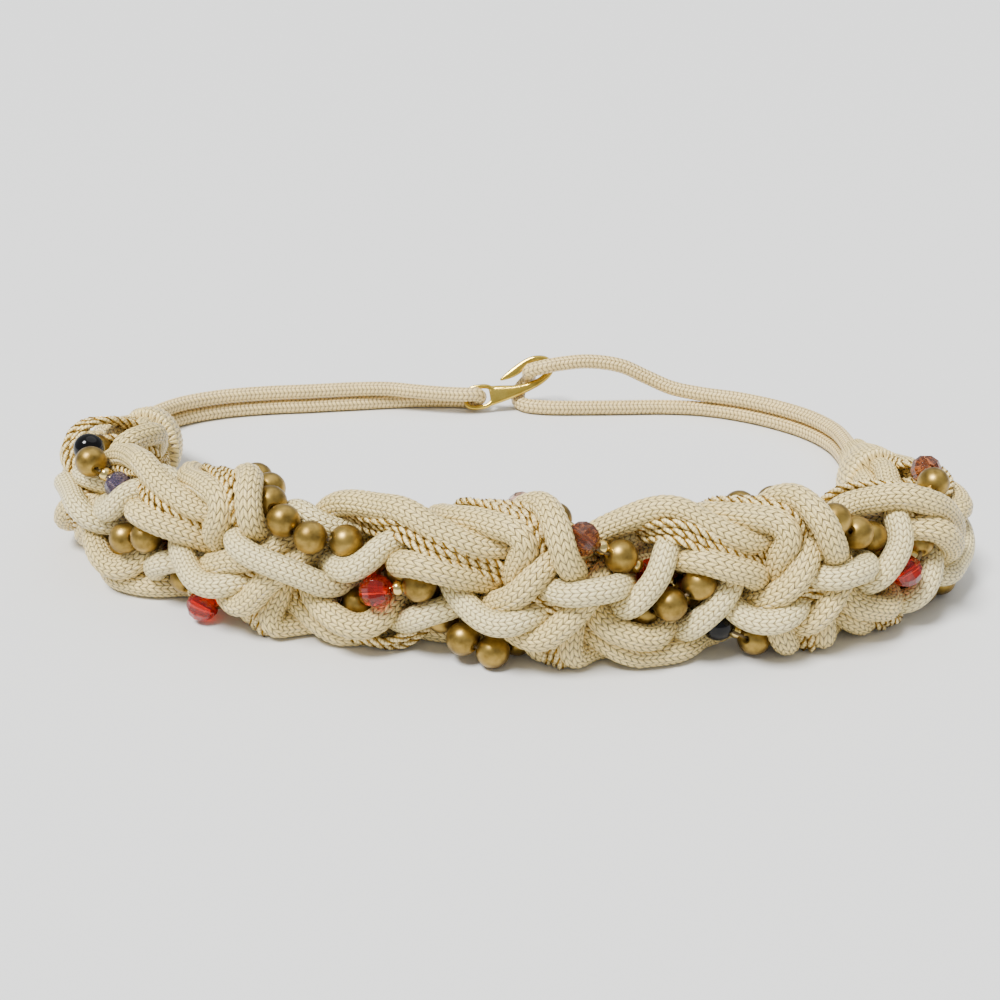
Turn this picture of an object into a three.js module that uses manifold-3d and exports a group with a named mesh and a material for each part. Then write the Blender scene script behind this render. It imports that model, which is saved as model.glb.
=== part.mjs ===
// A rope belt: a plaited front of cream ropes and bead strings, an end sleeve at each side,
// a doubled herringbone cord from each sleeve, and a gold hook that joins them at the back.
// Millimetres, +Z up, resting on its lower edge, the worn front towards -Y.
import * as THREE from "three";
import { mergeVertices } from "three/addons/utils/BufferGeometryUtils.js";
import Module from "manifold-3d";

// Driving dimensions
const SATIN_ROPE = 7.8;
const KNIT_ROPE = 8.2;
const GOLD_TWIST = 3.8;
const BEAD = 10;
const BEAD_THREAD = 3;
const SPACER = 3.6;
const BACK_CORD = 6.35;
const BRAID_MIDDLE = 22;
const STRAND_DEPTH = 7;

// Ropes press into each other where they cross, and each solid stays inside its own room
const PRESSED = 0.88;
const ROPE_SHARE = 0.64;
const BEAD_SHARE = 0.9;
const CORD_SHARE = 0.94;

// Plan of the plait: arcs from the left sleeve round the front to the right sleeve
const PLAN_START = { x: -134, y: 30, heading: -94 };
const PLAN_ARCS = [
  { length: 40, turn: 12 },
  { length: 50, turn: 50 },
  { length: 150, turn: 33 },
  { length: 80, turn: 22 },
  { length: 54, turn: 66 },
  { length: 22, turn: 10 },
];
const BRAID_LENGTH = PLAN_ARCS.reduce((sum, arc) => sum + arc.length, 0);

// The stretch of eye counts that the strands run through, and of turns that the wrap makes
const STRAND_RUN = { first: -0.56, last: 4.42 };
const WRAP_RUN = { first: -0.36, last: 4.55 };

// The eyes of the plait, where a bead strand arches over the crossing of two wide strands
const EYES = [
  { count: STRAND_RUN.first, along: 0 },
  { count: 0, along: 47 },
  { count: 1, along: 133 },
  { count: 2, along: 222 },
  { count: 3, along: 294 },
  { count: 4, along: 365 },
  { count: STRAND_RUN.last, along: BRAID_LENGTH },
];

// Strands of the plait: the eye where each is at its top, its rise, and its row in the bundle at each sleeve
const STRANDS = {
  beadsOne: { top: 1, rise: 12.5, leftRow: 2, rightRow: 1 },
  beadsTwo: { top: 2, rise: 12.5, leftRow: 1, rightRow: 2 },
  wideOne: { top: 1.5, rise: 14, leftRow: 3, rightRow: 0 },
  wideTwo: { top: 2.5, rise: 14, leftRow: 0, rightRow: 3 },
};

// Lanes: what lies side by side in each strand
const LANES = [
  { name: "satin_rope_1", strand: "beadsOne", lane: 1, size: SATIN_ROPE },
  { name: "gold_bead_string", strand: "beadsOne", lane: 0, size: BEAD },
  { name: "satin_rope_2", strand: "beadsOne", lane: -1, size: SATIN_ROPE },
  { name: "satin_rope_3", strand: "beadsTwo", lane: 1, size: SATIN_ROPE },
  { name: "jewel_bead_string", strand: "beadsTwo", lane: 0, size: BEAD },
  { name: "satin_rope_4", strand: "beadsTwo", lane: -1, size: SATIN_ROPE },
  { name: "knit_rope_1", strand: "wideOne", lane: 1, size: KNIT_ROPE },
  { name: "gold_twist_1", strand: "wideOne", lane: 0, size: GOLD_TWIST },
  { name: "knit_rope_2", strand: "wideOne", lane: -1, size: KNIT_ROPE },
  { name: "knit_rope_3", strand: "wideTwo", lane: 1, size: KNIT_ROPE },
  { name: "gold_twist_2", strand: "wideTwo", lane: 0, size: GOLD_TWIST },
  { name: "knit_rope_4", strand: "wideTwo", lane: -1, size: KNIT_ROPE },
  { name: "wrap_rope_1", strand: "wrap", lane: 1, size: KNIT_ROPE },
  { name: "gold_twist_3", strand: "wrap", lane: 0, size: GOLD_TWIST },
  { name: "wrap_rope_2", strand: "wrap", lane: -1, size: KNIT_ROPE },
];
const LANE_STEP = { beadsOne: 7.6, beadsTwo: 7.6, wideOne: 5.2, wideTwo: 5.2, wrap: 5.2 };

// One turn of the wrap: the share of the turn, and its shift along a pitch, its height and its depth
const WRAP_TURN = [
  { share: 0, pitch: 0.02, up: 19, out: 12 },
  { share: 0.13, pitch: 0, up: 0, out: -1 },
  { share: 0.26, pitch: -0.02, up: -19, out: 12 },
  { share: 0.36, pitch: 0.03, up: -24, out: 0 },
  { share: 0.62, pitch: 0.5, up: 0, out: -16 },
  { share: 0.9, pitch: 0.97, up: 24, out: 0 },
];

// How the cords settle against each other
const POINT_STEP = 2.7;
const ROUNDS = 500;
const SLIM = 0.5;
const LOOSE_DEPTH = 2.3;
const LOOSE_WRAP = 1.3;
const OUTER_TILT = 1.9;
const INNER_TILT = 0.9;
const BEAD_LIFT = 3.5;
const WRAP_FACE = 4;
const END_RUN = { left: 84, right: 80 };
const BEAD_END_RUN = 20;
const ROW_STEP = 7;
const FIRST_ROW = 4.2;
const COLUMN_STEP = 4.6;
const WRAP_COLUMN = -11.5;
const NEAR = 7;
const LIST_EVERY = 8;
const SMOOTHING = { first: 0.16, last: 0.07 };
const PULL = { first: 0.02, last: 0.002 };
const SWELL_SHARE = 0.5;
const PUSH = 1.5;
const PUSH_EVENING = 3;
const FIXED = 2;
const TINY = 1e-6;

// How finely the solids are cut
const FINE_STEP = 0.5;
const ROPE_SIDES = 5;
const ROPE_TOLERANCE = 1.25;
const CORD_SIDES = 8;
const CORD_TOLERANCE = 0.5;
const BEAD_SIDES = 10;
const BEAD_FLAT = 0.22;
const BEAD_SLACK = 0.3;
const SLEEVE_SIDES = 14;
const HOOK_SIDES = 6;
const EYE_STEPS = 12;

// Sleeves: from the mouth at the plait to the end that grips the cord's two legs
const LEFT_SLEEVE = [
  { x: -130.4, y: 32, z: 15.6, wide: 25, tall: 30.4 },
  { x: -129.9, y: 39, z: 14.8, wide: 23.5, tall: 28.6 },
  { x: -134.5, y: 50, z: 12.6, wide: 19, tall: 24.4 },
  { x: -139.5, y: 61, z: 10.4, wide: 14, tall: 20 },
  { x: -142.8, y: 70.5, z: 9.3, wide: 12, tall: 17.8 },
];
const RIGHT_SLEEVE = [
  { x: 137.3, y: -7.5, z: 15.6, wide: 25, tall: 30.4 },
  { x: 136.2, y: -0.6, z: 14.8, wide: 23.5, tall: 28.6 },
  { x: 138, y: 13, z: 12.6, wide: 19, tall: 24.4 },
  { x: 139.5, y: 26, z: 10.4, wide: 14, tall: 20 },
  { x: 140.2, y: 38, z: 9.3, wide: 12, tall: 17.8 },
];

// Routes of the two doubled cords: out along the floor, through the hook, and back on top
const LEFT_CORD = [
  { x: -143.1, y: 72.2, z: 3.5 },
  { x: -141, y: 84, z: 3.3 },
  { x: -133, y: 96, z: 3.2 },
  { x: -118, y: 105, z: 3.2 },
  { x: -99, y: 110, z: 3.2 },
  { x: -80, y: 112.5, z: 3.2 },
  { x: -60, y: 115.5, z: 3.2 },
  { x: -42, y: 118, z: 3.2 },
  { x: -27, y: 119, z: 3.2 },
  { x: -16, y: 118.6, z: 3.2 },
  { x: -10, y: 117.6, z: 3.5 },
  { x: -6, y: 115.7, z: 4.9 },
  { x: -4.9, y: 113.9, z: 6.7 },
  { x: -6.2, y: 111.8, z: 8.5 },
  { x: -11, y: 110, z: 9.2 },
  { x: -20, y: 110.8, z: 9.3 },
  { x: -32, y: 113, z: 9.5 },
  { x: -45, y: 115.6, z: 9.8 },
  { x: -60, y: 115.3, z: 9.8 },
  { x: -80, y: 112.5, z: 9.8 },
  { x: -99, y: 110, z: 9.8 },
  { x: -118, y: 105, z: 9.8 },
  { x: -133, y: 96, z: 9.8 },
  { x: -141, y: 84, z: 9.9 },
  { x: -143.1, y: 72.2, z: 10.2 },
];
const RIGHT_CORD = [
  { x: 140.3, y: 38.5, z: 3.5 },
  { x: 141, y: 53, z: 3.3 },
  { x: 139.5, y: 66, z: 3.2 },
  { x: 133, y: 80, z: 3.2 },
  { x: 122, y: 92, z: 3.2 },
  { x: 107, y: 102.5, z: 3.2 },
  { x: 92, y: 108.5, z: 3.2 },
  { x: 76, y: 110.5, z: 3.2 },
  { x: 57, y: 110, z: 3.2 },
  { x: 38, y: 109.5, z: 3.2 },
  { x: 25, y: 109.8, z: 3.2 },
  { x: 16, y: 112.2, z: 3.3 },
  { x: 12.2, y: 117.4, z: 3.8 },
  { x: 13, y: 122.4, z: 7.4 },
  { x: 16.6, y: 122.6, z: 12 },
  { x: 16.8, y: 118.6, z: 15.8 },
  { x: 17.2, y: 115, z: 18.4 },
  { x: 22, y: 113, z: 20.6 },
  { x: 31, y: 113, z: 22.4 },
  { x: 43, y: 114, z: 23 },
  { x: 57, y: 115, z: 20.6 },
  { x: 68, y: 115, z: 15.6 },
  { x: 79, y: 113, z: 11.3 },
  { x: 92, y: 108.9, z: 9.8 },
  { x: 107, y: 102.5, z: 9.8 },
  { x: 122, y: 92, z: 9.8 },
  { x: 133, y: 80, z: 9.8 },
  { x: 139.5, y: 66, z: 9.8 },
  { x: 141, y: 53, z: 9.9 },
  { x: 140.3, y: 38.5, z: 10.2 },
];

// The hook lies in a tilted plane: how far along it and across it, half its width and half its thickness
const HOOK_FROM = new THREE.Vector3(-11, 114, 5.9);
const HOOK_RISE = 6.7;
const HOOK_TILT = 55;
const HOOK_EYE = { along: 6, long: 6, wide: 4.7, square: 0.7, half: 1, thick: 1.1 };
const HOOK_BAR = [
  { along: 10.6, across: 0, half: 4.6, thick: 1.1 },
  { along: 15.4, across: 0.4, half: 3.9, thick: 1.2 },
  { along: 21.9, across: 1, half: 2.7, thick: 1.3 },
  { along: 27.8, across: 2.2, half: 1.9, thick: 1.3 },
  { along: 33.4, across: 4.6, half: 1.6, thick: 1.3 },
  { along: 37, across: 8, half: 1.6, thick: 1.3 },
  { along: 37.6, across: 11.2, half: 1.5, thick: 1.3 },
  { along: 35, across: 13.9, half: 1.4, thick: 1.2 },
  { along: 30.6, across: 14.6, half: 1.4, thick: 1.2 },
  { along: 26.6, across: 13.4, half: 1.5, thick: 1.1 },
  { along: 22.6, across: 10.4, half: 2.1, thick: 1 },
  { along: 18.8, across: 8.3, half: 1.6, thick: 0.8 },
  { along: 15.2, across: 6.7, half: 0.5, thick: 0.4 },
];

const clamp01 = (v) => Math.min(1, Math.max(0, v));
const smooth = (v) => clamp01(v) ** 2 * (3 - 2 * clamp01(v));
const mix = (a, b, t) => a + (b - a) * t;

// A value between the rows of a table, by straight lines
function lookUp(rows, key, value, at) {
  let i = 0;
  while (i < rows.length - 2 && at > rows[i + 1][key]) i += 1;
  const part = (at - rows[i][key]) / (rows[i + 1][key] - rows[i][key]);
  return mix(rows[i][value], rows[i + 1][value], part);
}

// The point of the plan at a distance along the plait, with its heading
function planAt(along) {
  let x = PLAN_START.x;
  let y = PLAN_START.y;
  let heading = THREE.MathUtils.degToRad(PLAN_START.heading);
  let left = along;
  if (left < 0) return { x: x + left * Math.cos(heading), y: y + left * Math.sin(heading), heading };
  for (const arc of PLAN_ARCS) {
    const run = Math.min(left, arc.length);
    const bend = THREE.MathUtils.degToRad(arc.turn) / arc.length;
    const end = heading + bend * run;
    x += (Math.sin(end) - Math.sin(heading)) / bend;
    y -= (Math.cos(end) - Math.cos(heading)) / bend;
    heading = end;
    left -= run;
    if (left <= 0) break;
  }
  return { x: x + left * Math.cos(heading), y: y + left * Math.sin(heading), heading };
}

// The unit vector out of the waist at a distance along the plait
function outwards(along) {
  const { heading } = planAt(along);
  return new THREE.Vector3(Math.sin(heading), -Math.cos(heading), 0);
}

// A point by its distance along the plait, its height and its depth out of the waist
function place(along, up, out) {
  const plan = planAt(along);
  return new THREE.Vector3(plan.x, plan.y, up).addScaledVector(outwards(along), out);
}

// The middle of a plait strand at an eye count, with the direction that faces out of the plait
function braidPoint(strand, count, depth) {
  const along = lookUp(EYES, "count", "along", count);
  const phase = Math.PI * (count - strand.top) + Math.PI / 2;
  const up = BRAID_MIDDLE + strand.rise * Math.sin(phase);
  const point = place(along, up, depth * Math.cos(3 * phase));
  return { point, along, rise: Math.sin(phase), face: outwards(along) };
}

// The middle of the wrap at a count of turns, through the rows of its turn
function wrapPoint(count, spread) {
  const turn = Math.floor(count);
  const rows = [...WRAP_TURN, { ...WRAP_TURN[0], share: 1, pitch: 1 + WRAP_TURN[0].pitch }];
  const share = count - turn;
  let i = 0;
  while (share > rows[i + 1].share) i += 1;
  const part = (share - rows[i].share) / (rows[i + 1].share - rows[i].share);
  const pitch = mix(rows[i].pitch, rows[i + 1].pitch, part);
  const up = mix(rows[i].up, rows[i + 1].up, smooth(part));
  const out = mix(rows[i].out, rows[i + 1].out, smooth(part)) * spread;
  const along = lookUp(EYES, "count", "along", turn + pitch);
  const point = place(along, BRAID_MIDDLE + up, out);
  const face = outwards(along).multiplyScalar(out + WRAP_FACE);
  face.z = up;
  return { point, along, rise: 0, face: face.normalize() };
}

// Where a lane lies in the packed bundle at a sleeve
function bundlePoint(row, along) {
  if (row.strand === "wrap")
    return place(along, FIRST_ROW + (1.5 + row.lane) * ROW_STEP, WRAP_COLUMN);
  const level = STRANDS[row.strand][along < BRAID_LENGTH / 2 ? "leftRow" : "rightRow"];
  return place(along, FIRST_ROW + level * ROW_STEP, row.lane * COLUMN_STEP);
}

// A lane's point at an eye count: beside the middle of its strand, and bundled near the sleeves
function lanePoint(row, count, depth) {
  const isWrap = row.strand === "wrap";
  const middleAt = (c) =>
    isWrap
      ? wrapPoint(c, depth > STRAND_DEPTH ? LOOSE_WRAP : 1)
      : braidPoint(STRANDS[row.strand], c, depth);
  const here = middleAt(count);
  const ahead = middleAt(count + 0.01).point;
  const along = ahead.sub(here.point).normalize();
  const side = new THREE.Vector3().crossVectors(here.face, along).normalize();
  const turn = row.lane * here.rise > 0 ? OUTER_TILT : INNER_TILT;
  const tilt = row.strand.startsWith("beads") ? here.rise * turn : 0;
  const shift = LANE_STEP[row.strand] * row.lane;
  if (row.size === BEAD) here.point.z += BEAD_LIFT * here.rise;
  const point = here.point
    .addScaledVector(side, shift * Math.cos(tilt))
    .addScaledVector(here.face, -shift * Math.sin(tilt));
  const fromLeft = here.along / END_RUN.left;
  const fromRight = (BRAID_LENGTH - here.along) / END_RUN.right;
  return bundlePoint(row, here.along).lerp(point, smooth(Math.min(fromLeft, fromRight)));
}

// Points at equal steps along a polyline
function spaced(points, step) {
  const run = [0];
  for (let i = 1; i < points.length; i += 1)
    run.push(run[i - 1] + points[i].distanceTo(points[i - 1]));
  const total = run[run.length - 1];
  const count = Math.round(total / step);
  const made = [];
  let i = 0;
  for (let k = 0; k <= count; k += 1) {
    const want = (total * k) / count;
    while (i < run.length - 2 && run[i + 1] < want) i += 1;
    const part = (want - run[i]) / (run[i + 1] - run[i]);
    made.push(points[i].clone().lerp(points[i + 1], part));
  }
  return made;
}

// Each lane as a chain of points, with its resting place as its goal
function layOut() {
  const counts = [];
  const samples = 1600;
  for (let i = 0; i <= samples; i += 1) counts.push(i / samples);
  return LANES.map((row) => {
    const run = row.strand === "wrap" ? WRAP_RUN : STRAND_RUN;
    const at = (c) => mix(run.first, run.last, c);
    const goal = spaced(counts.map((c) => lanePoint(row, at(c), STRAND_DEPTH)), POINT_STEP);
    const loose = counts.map((c) => lanePoint(row, at(c), STRAND_DEPTH * LOOSE_DEPTH));
    const points = [];
    const dense = spaced(loose, 0.5);
    for (let i = 0; i < goal.length; i += 1)
      points.push(dense[Math.round((i * (dense.length - 1)) / (goal.length - 1))].clone());
    const radii = goal.map((_, i) => {
      const end = Math.min(i, goal.length - 1 - i) * POINT_STEP;
      if (row.size !== BEAD) return (row.size / 2) * PRESSED;
      return mix(BEAD_THREAD, BEAD, clamp01(end / BEAD_END_RUN)) / 2;
    });
    return { ...row, goal, points, radii };
  });
}

// Each value of a chain averaged with its neighbours, its ends kept
function evened(values, passes) {
  let made = values;
  for (let pass = 0; pass < passes; pass += 1)
    made = made.map((value, i) => {
      if (i === 0 || i === made.length - 1) return value;
      return made[i - 1].clone().add(made[i + 1]).multiplyScalar(0.25).addScaledVector(value, 0.5);
    });
  return made;
}

// The pairs of points on different cords that are near enough to meet
function nearPairs(all) {
  const pairs = [];
  for (let a = 0; a < all.length; a += 1)
    for (let b = a + 1; b < all.length; b += 1) {
      const p = all[a];
      const q = all[b];
      const reach = p.radius + q.radius + NEAR;
      if (p.owner !== q.owner && p.point.distanceToSquared(q.point) < reach * reach) pairs.push([p, q]);
    }
  return pairs;
}

// The cords swell from slim to full size and push each other apart until they rest against each other
function settle(cords) {
  const all = cords.flatMap((cord, owner) =>
    cord.points.map((point, i) => ({ point, goal: cord.goal[i], radius: cord.radii[i], owner })),
  );
  const chains = cords.map((_, owner) => all.filter((p) => p.owner === owner));
  let pairs = [];
  for (let round = 0; round < ROUNDS; round += 1) {
    const swell = mix(SLIM, 1, clamp01(round / (SWELL_SHARE * ROUNDS)));
    const firm = clamp01((round / ROUNDS - SWELL_SHARE) / (1 - SWELL_SHARE));
    const smoothing = mix(SMOOTHING.first, SMOOTHING.last, firm);
    const pull = mix(PULL.first, PULL.last, firm);
    if (round % LIST_EVERY === 0) pairs = nearPairs(all);
    for (const p of all) {
      p.move = new THREE.Vector3();
      p.hits = 0;
    }
    for (const [p, q] of pairs) {
      const apart = q.point.clone().sub(p.point);
      const distance = apart.length();
      const overlap = (p.radius + q.radius) * swell - distance;
      if (overlap <= 0 || distance < TINY) continue;
      apart.multiplyScalar(overlap / distance / 2);
      p.move.sub(apart);
      q.move.add(apart);
      p.hits += 1;
      q.hits += 1;
    }
    for (const chain of chains) {
      const moves = evened(
        chain.map((p) => p.move.multiplyScalar(PUSH / Math.max(1, p.hits))),
        PUSH_EVENING,
      );
      const leans = chain.map((p, i) => {
        if (i === 0 || i === chain.length - 1) return new THREE.Vector3();
        const middle = chain[i - 1].point.clone().add(chain[i + 1].point).multiplyScalar(0.5);
        return middle.sub(p.point).multiplyScalar(smoothing);
      });
      for (let i = FIXED; i < chain.length - FIXED; i += 1) {
        const p = chain[i];
        p.point.add(moves[i]).add(leans[i]).lerp(p.goal, pull);
        p.point.z = Math.max(p.point.z, p.radius);
      }
    }
  }
  return cords;
}

// The points of a path that keep it within a tolerance of the whole
function thinned(points, tolerance) {
  const keep = new Set([0, points.length - 1]);
  const stack = [[0, points.length - 1]];
  while (stack.length) {
    const [a, b] = stack.pop();
    const line = new THREE.Line3(points[a], points[b]);
    const foot = new THREE.Vector3();
    let worst = tolerance;
    let at = -1;
    for (let i = a + 1; i < b; i += 1) {
      const off = line.closestPointToPoint(points[i], true, foot).distanceTo(points[i]);
      if (off > worst) {
        worst = off;
        at = i;
      }
    }
    if (at < 0) continue;
    keep.add(at);
    stack.push([a, at], [at, b]);
  }
  return [...keep].sort((a, b) => a - b);
}

// A closed solid swept through stations, each with a centre, a half width and a half height
function sweep(stations, sides, face = null, ring = false) {
  const positions = [];
  const count = stations.length;
  let side = null;
  stations.forEach((station, i) => {
    const before = stations[ring ? (i + count - 1) % count : Math.max(0, i - 1)].centre;
    const after = stations[ring ? (i + 1) % count : Math.min(count - 1, i + 1)].centre;
    const along = after.clone().sub(before).normalize();
    if (face) side = new THREE.Vector3().crossVectors(face, along).normalize();
    else if (side) side = side.clone().addScaledVector(along, -side.dot(along)).normalize();
    else side = new THREE.Vector3().crossVectors(new THREE.Vector3(0, 0, 1), along).normalize();
    const top = new THREE.Vector3().crossVectors(along, side);
    for (let k = 0; k < sides; k += 1) {
      const angle = (2 * Math.PI * k) / sides;
      const point = station.centre
        .clone()
        .addScaledVector(side, station.wide * Math.cos(angle))
        .addScaledVector(top, station.tall * Math.sin(angle));
      positions.push(point.x, point.y, point.z);
    }
  });
  const index = [];
  for (let i = 0; i < (ring ? count : count - 1); i += 1)
    for (let k = 0; k < sides; k += 1) {
      const next = (i + 1) % count;
      const a = i * sides + k;
      const b = i * sides + ((k + 1) % sides);
      const c = next * sides + ((k + 1) % sides);
      const d = next * sides + k;
      index.push(a, b, c, a, c, d);
    }
  const last = (count - 1) * sides;
  for (let k = 1; k < sides - 1 && !ring; k += 1) {
    index.push(0, k + 1, k);
    index.push(last, last + k, last + k + 1);
  }
  const geometry = new THREE.BufferGeometry();
  geometry.setAttribute("position", new THREE.Float32BufferAttribute(positions, 3));
  geometry.setIndex(index);
  return geometry;
}

// A rope of one thickness along settled points
function ropeSolid(points, radius, sides, tolerance) {
  const stations = thinned(points, tolerance).map((i) => ({ centre: points[i], wide: radius, tall: radius }));
  return sweep(stations, sides);
}

// A string of beads, each a flat-ended profile between two necks, on the settled points
function beadSolid(points, pitch) {
  const fine = spaced(points, FINE_STEP);
  const last = fine.length - 1;
  const long = last * FINE_STEP;
  const at = (distance) => fine[Math.round(clamp01(distance / long) * last)];
  const beads = Math.floor((long - 2 * BEAD_END_RUN - BEAD) / pitch) + 1;
  const first = (long - (beads - 1) * pitch) / 2;
  const radius = (BEAD / 2) * BEAD_SHARE;
  const neck = (BEAD_THREAD / 2) * BEAD_SHARE;
  const stations = [];
  const profile = [
    { shift: -pitch / 2, size: neck },
    { shift: -BEAD * BEAD_FLAT, size: radius },
    { shift: BEAD * BEAD_FLAT, size: radius },
  ];
  for (let i = 0; i < beads; i += 1)
    for (const ring of profile)
      stations.push({ centre: at(first + i * pitch + ring.shift), wide: ring.size, tall: ring.size });
  stations.push({ centre: at(first + (beads - 0.5) * pitch), wide: neck, tall: neck });
  return sweep(stations, BEAD_SIDES);
}

// A smooth path through a route's rows
function routePoints(rows, step) {
  const curve = new THREE.CatmullRomCurve3(
    rows.map((row) => new THREE.Vector3(row.x, row.y, row.z)),
    false,
    "centripetal",
  );
  return curve.getSpacedPoints(Math.round(curve.getLength() / step));
}

// A sleeve: an oval section that shrinks from the mouth to the cord
function sleeveSolid(rows) {
  const stations = rows.map((row) => ({
    centre: new THREE.Vector3(row.x, row.y, row.z),
    wide: row.wide / 2,
    tall: row.tall / 2,
  }));
  return sweep(stations, SLEEVE_SIDES);
}

// A mesh as a solid for joining, with only its positions
function solidOf(manifold, geometry) {
  const merged = mergeVertices(geometry);
  return new manifold.Manifold(
    new manifold.Mesh({
      numProp: 3,
      vertProperties: merged.attributes.position.array,
      triVerts: new Uint32Array(merged.index.array),
    }),
  );
}

// A joined solid as a mesh's geometry
function geometryOf(solid) {
  const mesh = solid.getMesh();
  const geometry = new THREE.BufferGeometry();
  geometry.setAttribute("position", new THREE.BufferAttribute(mesh.vertProperties, 3));
  geometry.setIndex(new THREE.BufferAttribute(mesh.triVerts, 1));
  return geometry;
}

// A side of an oval, drawn out towards a rounded rectangle
const squared = (v) => Math.sign(v) * Math.abs(v) ** HOOK_EYE.square;

// The hook: an oval eye, a shank that narrows, a curl and a flat spear tip, as one piece of metal
async function hookSolid() {
  const manifold = await Module();
  manifold.setup();
  const rise = THREE.MathUtils.degToRad(HOOK_RISE);
  const tilt = THREE.MathUtils.degToRad(HOOK_TILT);
  const along = new THREE.Vector3(Math.cos(rise), 0, Math.sin(rise));
  const across = new THREE.Vector3(0, Math.cos(tilt), Math.sin(tilt));
  const face = new THREE.Vector3().crossVectors(along, across).normalize();
  const at = (u, v) => HOOK_FROM.clone().addScaledVector(along, u).addScaledVector(across, v);
  const eye = [];
  for (let i = 0; i < EYE_STEPS; i += 1) {
    const angle = (2 * Math.PI * i) / EYE_STEPS;
    const u = HOOK_EYE.along + HOOK_EYE.long * squared(Math.cos(angle));
    const v = HOOK_EYE.wide * squared(Math.sin(angle));
    eye.push({ centre: at(u, v), wide: HOOK_EYE.half, tall: HOOK_EYE.thick });
  }
  const bar = HOOK_BAR.map((row) => ({
    centre: at(row.along, row.across),
    wide: row.half,
    tall: row.thick,
  }));
  const ring = solidOf(manifold, sweep(eye, HOOK_SIDES, face, true));
  return geometryOf(ring.add(solidOf(manifold, sweep(bar, HOOK_SIDES, face))));
}

const materials = {
  satin: new THREE.MeshStandardMaterial({ color: 0xece2c6, roughness: 0.45 }),
  knit: new THREE.MeshStandardMaterial({ color: 0xe6dab8, roughness: 0.6 }),
  herringbone: new THREE.MeshStandardMaterial({ color: 0xe2d3ac, roughness: 0.55 }),
  beadGold: new THREE.MeshStandardMaterial({ color: 0x9a7c3c, roughness: 0.4, metalness: 0.8 }),
  jewel: new THREE.MeshStandardMaterial({ color: 0x7a2a14, roughness: 0.15 }),
  hookGold: new THREE.MeshStandardMaterial({ color: 0xc9ae52, roughness: 0.15, metalness: 1 }),
};

const group = new THREE.Group();

function addMesh(name, geometry, material) {
  const mesh = new THREE.Mesh(geometry, material);
  mesh.name = name;
  group.add(mesh);
}

for (const cord of settle(layOut())) {
  if (cord.size === GOLD_TWIST) continue;
  if (cord.size === BEAD) {
    const isGold = cord.name.startsWith("gold");
    const pitch = isGold ? BEAD + BEAD_SLACK : BEAD + SPACER;
    addMesh(cord.name, beadSolid(cord.points, pitch), isGold ? materials.beadGold : materials.jewel);
    continue;
  }
  const radius = (cord.size / 2) * PRESSED * ROPE_SHARE;
  const material = cord.size === SATIN_ROPE ? materials.satin : materials.knit;
  addMesh(cord.name, ropeSolid(cord.points, radius, ROPE_SIDES, ROPE_TOLERANCE), material);
}
for (const [side, rows, route] of [
  ["left", LEFT_SLEEVE, LEFT_CORD],
  ["right", RIGHT_SLEEVE, RIGHT_CORD],
]) {
  const radius = (BACK_CORD / 2) * CORD_SHARE;
  addMesh("end_sleeve_" + side, sleeveSolid(rows), materials.knit);
  addMesh(
    "back_cord_" + side,
    ropeSolid(routePoints(route, FINE_STEP), radius, CORD_SIDES, CORD_TOLERANCE),
    materials.herringbone,
  );
}
addMesh("hook", await hookSolid(), materials.hookGold);

// The origin is the middle of the whole belt's box, at the surface it stands on
const box = new THREE.Box3().setFromObject(group);
const middle = box.getCenter(new THREE.Vector3());
for (const mesh of group.children) mesh.position.set(-middle.x, -middle.y, -box.min.z);

export default group;
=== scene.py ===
# The rope belt: plaited cream ropes, bead strings, metallic twists, sleeves, herringbone cords and hook.
import math

import bpy
import numpy as np
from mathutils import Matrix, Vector


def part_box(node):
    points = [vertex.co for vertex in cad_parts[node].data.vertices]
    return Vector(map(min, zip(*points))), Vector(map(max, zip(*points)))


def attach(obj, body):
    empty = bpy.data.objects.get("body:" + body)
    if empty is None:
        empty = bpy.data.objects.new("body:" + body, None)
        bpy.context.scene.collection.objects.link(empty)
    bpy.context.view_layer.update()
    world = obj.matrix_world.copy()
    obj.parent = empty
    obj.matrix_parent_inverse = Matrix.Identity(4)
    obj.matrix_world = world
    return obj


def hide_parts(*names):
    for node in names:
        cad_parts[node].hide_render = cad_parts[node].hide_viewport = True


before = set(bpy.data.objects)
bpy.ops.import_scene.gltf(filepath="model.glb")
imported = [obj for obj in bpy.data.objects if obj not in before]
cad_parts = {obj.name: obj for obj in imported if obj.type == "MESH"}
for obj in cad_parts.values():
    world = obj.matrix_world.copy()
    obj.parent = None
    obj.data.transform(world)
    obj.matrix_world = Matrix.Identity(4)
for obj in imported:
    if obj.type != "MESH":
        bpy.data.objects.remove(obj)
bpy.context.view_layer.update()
MM = 0.001

# Driving dimensions, in millimetres, as in the solids
SATIN_ROPE = 7.8
KNIT_ROPE = 8.2
GOLD_TWIST = 3.8
BEAD = 10
BEAD_THREAD = 3
SPACER = 3.6
BACK_CORD = 6.35
BRAID_MIDDLE = 22
STRAND_DEPTH = 7
PRESSED = 0.88

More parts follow.
